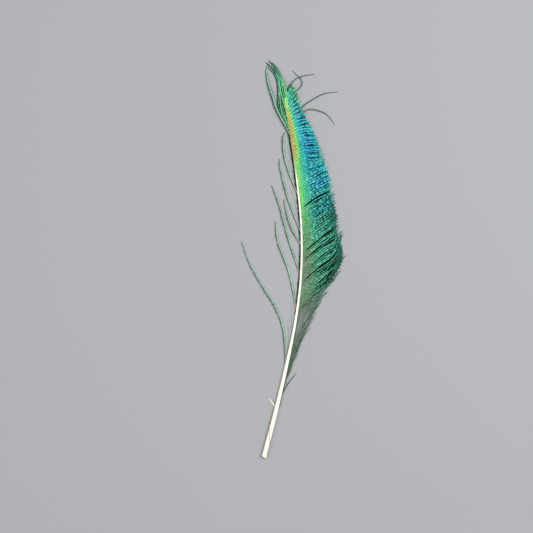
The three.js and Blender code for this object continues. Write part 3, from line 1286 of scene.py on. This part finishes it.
@dataclass(frozen=True)
class BarbFinish:
    """Barb keratin over melanin: colour without pigment, with the silky gloss of a stack of thin films.

    films holds the colours from thick films to thin ones. downy is what dull barbs turn to, dark is painted
    shade over the melanin, where no light comes back, deep is that painted shade under thin films, and pale
    is a painted glint, where a barbule faces the light. patch, stain and fleck are millimetres: the sizes of
    its unevenness.
    """

    name: str
    films: tuple[tuple[float, str], ...] = (
        (0.0, "#ccae62"),
        (0.13, "#cfc870"),
        (0.26, "#b0ea84"),
        (0.38, "#78e48c"),
        (0.52, "#5cd0a0"),
        (0.64, "#4ccdba"),
        (0.78, "#40cad8"),
        (0.95, "#3fb0e4"),
    )
    downy: str = "#7f8f77"
    dark: str = "#04221d"
    deep: str = "#0a2340"
    pale: str = "#b8f5e0"
    metallic: float = 0.7
    roughness: float = 0.45
    specular: float = 0.1
    ior: float = 1.55
    patch: float = 7.0
    patch_film: float = 0.1
    patch_light: float = 0.9
    stain: float = 2.2
    stain_film: float = 0.05
    fleck: float = 1.6
    fleck_light: float = 0.32
    glint_from: float = 1.1
    glint: float = 0.45

    def build(self) -> bpy.types.Material:
        """Makes the material.

        Returns:
            The new material.
        """
        material, tree, shader = new_material(self.name)
        add = partial(add_node, tree)
        values = StrandMesh.VALUES[:3]
        film, dull, light = (add("Attribute", {"attribute_name": name}, {}, "Fac") for name in values)
        place = add("TexCoord", {}, {}, "Object")
        patches, stains, flecks = (
            add("TexNoise", {}, {"Vector": place, "Scale": 1 / (size * MM), "Detail": 2.0}, "Fac")
            for size in (self.patch, self.stain, self.fleck)
        )

        # The films are a little thicker or thinner from place to place
        for noise, swing in ((patches, self.patch_film), (stains, self.stain_film)):
            lowered = add("Math", {"operation": "SUBTRACT"}, {0: film, 1: swing / 2})
            film = add("Math", {"operation": "MULTIPLY_ADD"}, {0: noise, 1: swing, 2: lowered})
        colour = add("ValToRGB", {"stops": self.films}, {"Fac": film}, "Color")
        colour = add("Mix", MIX, {SHARE: dull, FIRST: colour, SECOND: linear(self.downy)}, MIXED)
        thin = add("MapRange", {}, {"Value": film, "From Min": 0.5, "From Max": 0.75}, "Result")
        dark = add("Mix", MIX, {SHARE: thin, FIRST: linear(self.dark), SECOND: linear(self.deep)}, MIXED)

        # So is the light that comes back, in patches and in flecks
        low, high = 1 - self.fleck_light, 1 + self.fleck_light
        limits = {"From Min": 0.35, "From Max": 0.65, "To Min": low, "To Max": high}
        fleck = add("MapRange", {}, {"Value": flecks, **limits}, "Result")
        patchy = {0: patches, 1: self.patch_light, 2: 1 - self.patch_light / 2}
        patchy = add("Math", {"operation": "MULTIPLY_ADD"}, patchy)
        for factor in (fleck, patchy):
            light = add("Math", {"operation": "MULTIPLY"}, {0: light, 1: factor})
        # Where less light is painted, the colour turns to the painted shade, dark
        colour = add("Mix", MIX, {SHARE: light, FIRST: dark, SECOND: colour}, MIXED)

        # Painted glint: a barbule that gives back more than glint_from turns pale
        glint = add("Math", {"operation": "SUBTRACT"}, {0: light, 1: self.glint_from})
        glint = add("Math", {"operation": "MULTIPLY"}, {0: glint, 1: self.glint})
        glint = add("Math", {"operation": "MAXIMUM"}, {0: glint, 1: 0.0})
        colour = add("Mix", MIX, {SHARE: glint, FIRST: colour, SECOND: linear(self.pale)}, MIXED)
        tree.links.new(colour, shader.inputs["Base Color"])
        shader.inputs["Metallic"].default_value = self.metallic
        shader.inputs["Roughness"].default_value = self.roughness
        shader.inputs["Specular IOR Level"].default_value = self.specular
        shader.inputs["IOR"].default_value = self.ior
        return material


@dataclass(frozen=True)
class QuillKeratin:
    """Bare feather keratin: cream and satin, tan at its left edge and olive at its right and upper end.

    fibre is how far apart its fibres are, in millimetres: real ones are finer, and these are as coarse as
    they need to be to show.
    """

    name: str = "quill_keratin_satin"
    pale: str = "#f6f2e4"
    cream: str = "#f3ebd6"
    tan: str = "#b4935f"
    brown: str = "#8a6250"
    olive: str = "#827440"
    leaf: str = "#5f7c3c"
    roughness: float = 0.38
    ior: float = 1.55
    fibre: float = 0.9
    fibre_stretch: float = 0.05
    relief: float = 0.1

    def build(self) -> bpy.types.Material:
        """Makes the material.

        Returns:
            The new material.
        """
        material, tree, shader = new_material(self.name)
        add = partial(add_node, tree)
        values = ("upward", "across", "split")
        upward, across, split = (add("Attribute", {"attribute_name": name}, {}, "Fac") for name in values)
        place = add("TexCoord", {}, {}, "Object")
        place = add("Mapping", {}, {"Vector": place, "Scale": (1.0, self.fibre_stretch, 1.0)})
        fibres = {"Vector": place, "Scale": 1 / (self.fibre * MM), "Detail": 4.0}
        fibres = add("TexNoise", {}, fibres, "Fac")
        stops = (
            (0.0, self.cream),
            (0.05, self.pale),
            (0.77, self.pale),
            (0.83, self.olive),
            (0.96, self.leaf),
        )
        colour = add("ValToRGB", {"stops": stops}, {"Fac": upward}, "Color")

        # How much of a tint there is, as a value goes from one number to another. The tan and olive at the
        # edges are partly the quill's own colour and partly painted shade on its rounded sides
        tints = (
            (self.tan, across, -0.7, -1.0, 0.0, 0.6),
            (self.olive, across, 0.7, 1.0, 0.0, 0.6),
            (self.cream, fibres, 0.4, 0.7, 0.0, 0.35),
            (self.brown, split, 0.05, 0.22, 0.75, 0.0),
        )
        for tint, value, low, high, bottom, top in tints:
            limits = {"Value": value, "From Min": low, "From Max": high, "To Min": bottom, "To Max": top}
            much = add("MapRange", {"interpolation_type": "SMOOTHSTEP"}, limits, "Result")
            colour = add("Mix", MIX, {SHARE: much, FIRST: colour, SECOND: linear(tint)}, MIXED)
        relief = {"Strength": 0.25, "Distance": self.relief * MM, "Height": fibres}
        tree.links.new(colour, shader.inputs["Base Color"])
        tree.links.new(add("Bump", {}, relief, "Normal"), shader.inputs["Normal"])
        shader.inputs["Roughness"].default_value = self.roughness
        shader.inputs["IOR"].default_value = self.ior
        return material


class Finish(Enum):
    """The barb finishes."""

    # Structural green that runs from gold to blue, with a metallic gloss
    VANE = BarbFinish("vane_barb_iridescent")
    # The melanin of the barbules underneath, with painted shade: nearly black, and matt
    UNDER = BarbFinish(
        "under_barbule_melanin_painted_shade",
        dark="#020d0b",
        deep="#040f1a",
        metallic=0.0,
        roughness=0.75,
        specular=0.05,
    )
    # Down with hardly any film: soft grey green
    LOOSE = BarbFinish(
        "loose_barb_downy",
        downy="#97ab9c",
        dark="#1c211a",
        pale="#cfdccf",
        metallic=0.1,
        roughness=0.5,
    )
    # Melanin without film, with painted shadow beside the quill: dark brown along it
    PRESSED = BarbFinish(
        "pressed_barb_melanin_painted_shadow",
        downy="#33291e",
        dark="#0b0806",
        pale="#8c8a6c",
        metallic=0.0,
    )
    # Dry sheath: cream fibre; the peeled fibre is brown, and its ribbons' edges are painted brown as shade
    SHEATH = BarbFinish("dry_sheath_fibre", downy="#f1ead6", dark="#4a3226", pale="#fbf6e8", metallic=0.0)


# ---- Studio ----------------------------------------------------------------------------------


@dataclass
class Studio:
    """The pale floor, soft light and a camera that looks straight down."""

    frame_width: float = 426.4
    view_centre: tuple[float, float] = (-0.9, 140.0)
    lens: float = 85.0
    sensor: float = 36.0
    floor_side: float = 6000.0
    floor_colour: str = "#9d9ea0"
    floor_roughness: float = 0.8
    sky_colour: str = "#f2f4f8"
    sky_strength: float = 0.55
    lamps: tuple[tuple[str, tuple[float, float, float], float, float], ...] = (
        ("key_light", (900.0, 500.0, 1500.0), 900.0, 26.0),
        ("fill_light", (-1100.0, -200.0, 1300.0), 1200.0, 9.0),
    )

    def build(self) -> None:
        """Makes the camera, lights, world and floor."""
        self._camera()
        for name, place, side, watts in self.lamps:
            self._lamp(name, place, side, watts)
        self._world()
        self._floor()
        view = bpy.context.scene.view_settings
        view.view_transform, view.look = "Standard", "None"

    def _camera(self) -> None:
        """Places the camera so that the frame's width covers frame_width at the surface."""
        data = bpy.data.cameras.new("camera")
        data.lens, data.sensor_width = self.lens, self.sensor
        camera = bpy.data.objects.new("camera", data)
        distance = self.frame_width * self.lens / self.sensor
        camera.location = Vector((*self.view_centre, distance)) * MM
        bpy.context.scene.collection.objects.link(camera)
        bpy.context.scene.camera = camera

    def _lamp(self, name: str, place: tuple[float, float, float], side: float, watts: float) -> None:
        """Adds one square soft lamp that points at the feather's middle.

        Args:
            name: The lamp's name.
            place: Where it hangs.
            side: How wide it is.
            watts: How strong it is.
        """
        data = bpy.data.lights.new(name, "AREA")
        data.size, data.energy = side * MM, watts
        lamp = bpy.data.objects.new(name, data)
        lamp.location = Vector(place) * MM
        target = Vector((*self.view_centre, 0.0)) * MM
        lamp.rotation_euler = (target - lamp.location).to_track_quat("-Z", "Y").to_euler()
        bpy.context.scene.collection.objects.link(lamp)

    def _world(self) -> None:
        """Lights the scene softly from all round."""
        world = bpy.data.worlds.new("studio")
        world.use_nodes = True
        background = world.node_tree.nodes["Background"]
        background.inputs["Color"].default_value = linear(self.sky_colour)
        background.inputs["Strength"].default_value = self.sky_strength
        bpy.context.scene.world = world

    def _floor(self) -> None:
        """Adds the plain floor just under the feather."""
        bpy.ops.object.select_all(action="DESELECT")
        bpy.ops.mesh.primitive_plane_add(size=self.floor_side * MM, location=(0, 0, 0))
        floor = bpy.context.object
        floor.name = "floor"
        material, _, shader = new_material("pale_floor")
        shader.inputs["Base Color"].default_value = linear(self.floor_colour)
        shader.inputs["Roughness"].default_value = self.floor_roughness
        floor.data.materials.append(material)


# ---- The feather -----------------------------------------------------------------------------


@dataclass
class Feather:
    """All pieces of the feather, with their finishes."""

    plan: Plan = field(default_factory=Plan)
    left: tuple[Route, ...] = (
        ((14.3, 58.8), (12.7, 88.4), (6.0, 107.4), (-2.2, 121.2), (-14.1, 141.6), (-20.8, 159.7)),
        ((23.5, 103.6), (17.7, 133.3), (9.8, 155.2), (7.2, 164.8), (6.4, 176.4)),
        ((25.8, 133.2), (16.3, 163.0), (9.7, 187.6), (3.4, 204.7)),
        ((25.8, 158.0), (18.3, 172.4), (12.7, 193.2)),
        ((25.7, 168.0), (17.7, 190.2), (10.7, 215.6), (9.4, 226.0)),
        ((24.0, 197.2), (14.7, 222.8), (12.3, 240.4), (13.5, 246.8)),
    )
    right: tuple[Route, ...] = (
        ((9.3, 35.0), (15.5, 45.0), (23.0, 55.0)),
        ((15.5, 256.0), (26.6, 266.5), (36.0, 273.4), (45.0, 278.0), (56.1, 279.8)),
        ((17.5, 249.0), (26.0, 261.0), (33.1, 265.4), (41.4, 264.2), (47.8, 261.0), (53.6, 253.2)),
        ((13.6, 272.0), (22.9, 279.9), (27.0, 284.6), (26.6, 289.4), (19.3, 297.0)),
        ((13.2, 274.0), (19.3, 286.7), (27.6, 292.0), (37.7, 293.8)),
    )
    tuft: tuple[Route, ...] = (
        ((16.8, 247.0), (11.4, 257.5), (6.5, 267.4), (3.5, 277.0), (0.5, 286.2), (-0.9, 295.4), (0.4, 301.6)),
        (
            *((16.9, 250.0), (11.8, 261.0), (9.4, 267.4), (8.8, 275.0)),
            *((8.7, 282.8), (7.8, 288.2), (4.8, 294.5), (-0.4, 299.8)),
        ),
        ((16.8, 252.0), (13.2, 266.0), (9.7, 278.6), (8.6, 288.6), (5.4, 296.6), (-1.6, 303.4)),
        ((16.7, 254.0), (14.7, 267.8), (11.5, 279.4), (9.7, 289.4), (6.4, 297.9), (1.0, 304.6)),
        ((16.1, 259.0), (15.3, 270.2), (13.1, 281.7), (11.0, 290.0), (8.0, 297.4), (3.6, 303.0)),
        ((14.6, 266.0), (15.0, 275.0), (13.9, 282.0), (12.2, 287.6), (9.8, 293.2), (7.6, 297.2)),
    )
    top: tuple[Route, ...] = (
        ((14.6, 268.0), (16.6, 279.6), (17.3, 286.0)),
        ((14.6, 267.0), (18.5, 278.8), (19.5, 286.0)),
        ((14.8, 265.0), (20.0, 276.4), (21.2, 282.8)),
        ((15.0, 263.0), (21.8, 274.0), (23.4, 278.8)),
    )
    stripped: tuple[Route, ...] = (
        ((6.2, 28.0), (1.1, 34.2)),
        ((0.6, 4.0), (1.4, 17.0), (3.2, 27.2)),
    )

    def loose_barbs(self) -> list[tuple[Finish, LooseBarbs]]:
        """The loose barbs, the tuft and the stripped stub, each with its finish.

        Returns:
            The finish and the barbs of each piece.
        """
        loose = partial(LooseBarbs, self.plan)
        return [
            # The tuft, the vane's top and the left barbs are painted with pale glints where their light
            # passes glint_from, and row_lights below 1 paint one row of each barb in shade, as its dark side
            (Finish.LOOSE, loose(
                "tuft_loop", self.tuft[:1], half_width=0.85, thickness=0.3, barbule=1.7, films=(0.5, 0.52),
                dull=0.6, lights=(1.25, 1.35), raised=0.4, row_lights=(1.1, 0.12), seed=23,
            )),
            (Finish.VANE, loose(
                "tip_tuft", self.tuft[1:], half_width=0.36, thickness=0.3, barbule=0.62, copies=2, fan=1.2,
                films=(0.36, 0.58), dull=0.2, lights=(0.6, 1.8), raised=0.4, row_lights=(1.2, 0.03), seed=21,
            )),
            (Finish.VANE, loose(
                "vane_top", self.top, half_width=0.4, thickness=0.3, barbule=0.9, copies=2, fan=1.1,
                films=(0.56, 0.62), dull=0.1, lights=(0.6, 1.3), raised=0.3, row_lights=(1.2, 0.05), seed=24,
            )),
            # Dark strands under the tuft: painted shade that outlines its barbs
            (Finish.UNDER, loose(
                "tuft_undersides_painted_shade", self.tuft, half_width=1.1, thickness=0.12, dull=0.2,
                lights=(0.03, 0.08), seed=22,
            )),
            (Finish.LOOSE, loose(
                "loose_barbs_left", self.left, half_width=0.68, barbule=1.8, dull=0.9, lights=(1.1, 1.6),
                rows=(0.85, 1.35), row_lights=(1.1, 0.12), seed=31,
            )),
            (Finish.LOOSE, loose(
                "loose_barbs_right", self.right, half_width=0.44, barbule=0.55, lights=(0.15, 0.6),
                fading=0.7, seed=33,
            )),
            (Finish.SHEATH, loose(
                "stripped_stub", self.stripped[:1], half_width=0.7, thickness=0.6, barbule=0.0, dull=1.0,
                lights=(1.6, 1.7),
            )),
            (Finish.SHEATH, loose(
                "peeled_fibre", self.stripped[1:], half_width=0.45, thickness=0.4, barbule=0.0, dull=1.0,
                lights=(0.7, 0.8),
            )),
        ]  # fmt: skip

    def build(self) -> None:
        """Makes and dresses every piece, and fits it to the frame's body."""
        quill = Quill(self.plan).build()
        self._dress(quill, QuillKeratin().build())
        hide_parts("feather")
        finishes = {finish: finish.value.build() for finish in Finish}
        *vane, below = BroadVane(self.plan).build()
        for piece in vane:
            self._dress(piece, finishes[Finish.VANE])
        self._dress(below, finishes[Finish.UNDER])
        for finish, barbs in self.loose_barbs():
            self._dress(barbs.build(), finishes[finish])
        for finish, piece in zip((Finish.PRESSED, Finish.LOOSE), NarrowVane(self.plan).build()):
            self._dress(piece, finishes[finish])

    def _dress(self, piece: bpy.types.Object, material: bpy.types.Material) -> None:
        """Gives a piece its material and its place in the frame.

        Args:
            piece: The piece.
            material: Its material.
        """
        piece.data.materials.clear()
        piece.data.materials.append(material)
        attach(piece, BODY)
        LOG.info("dressed %s with %s", piece.name, material.name)


def main() -> None:
    """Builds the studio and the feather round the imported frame."""
    logging.basicConfig(level=logging.INFO, format="%(name)s: %(message)s")
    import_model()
    Studio().build()
    Feather().build()


if __name__ == "__main__":
    main()
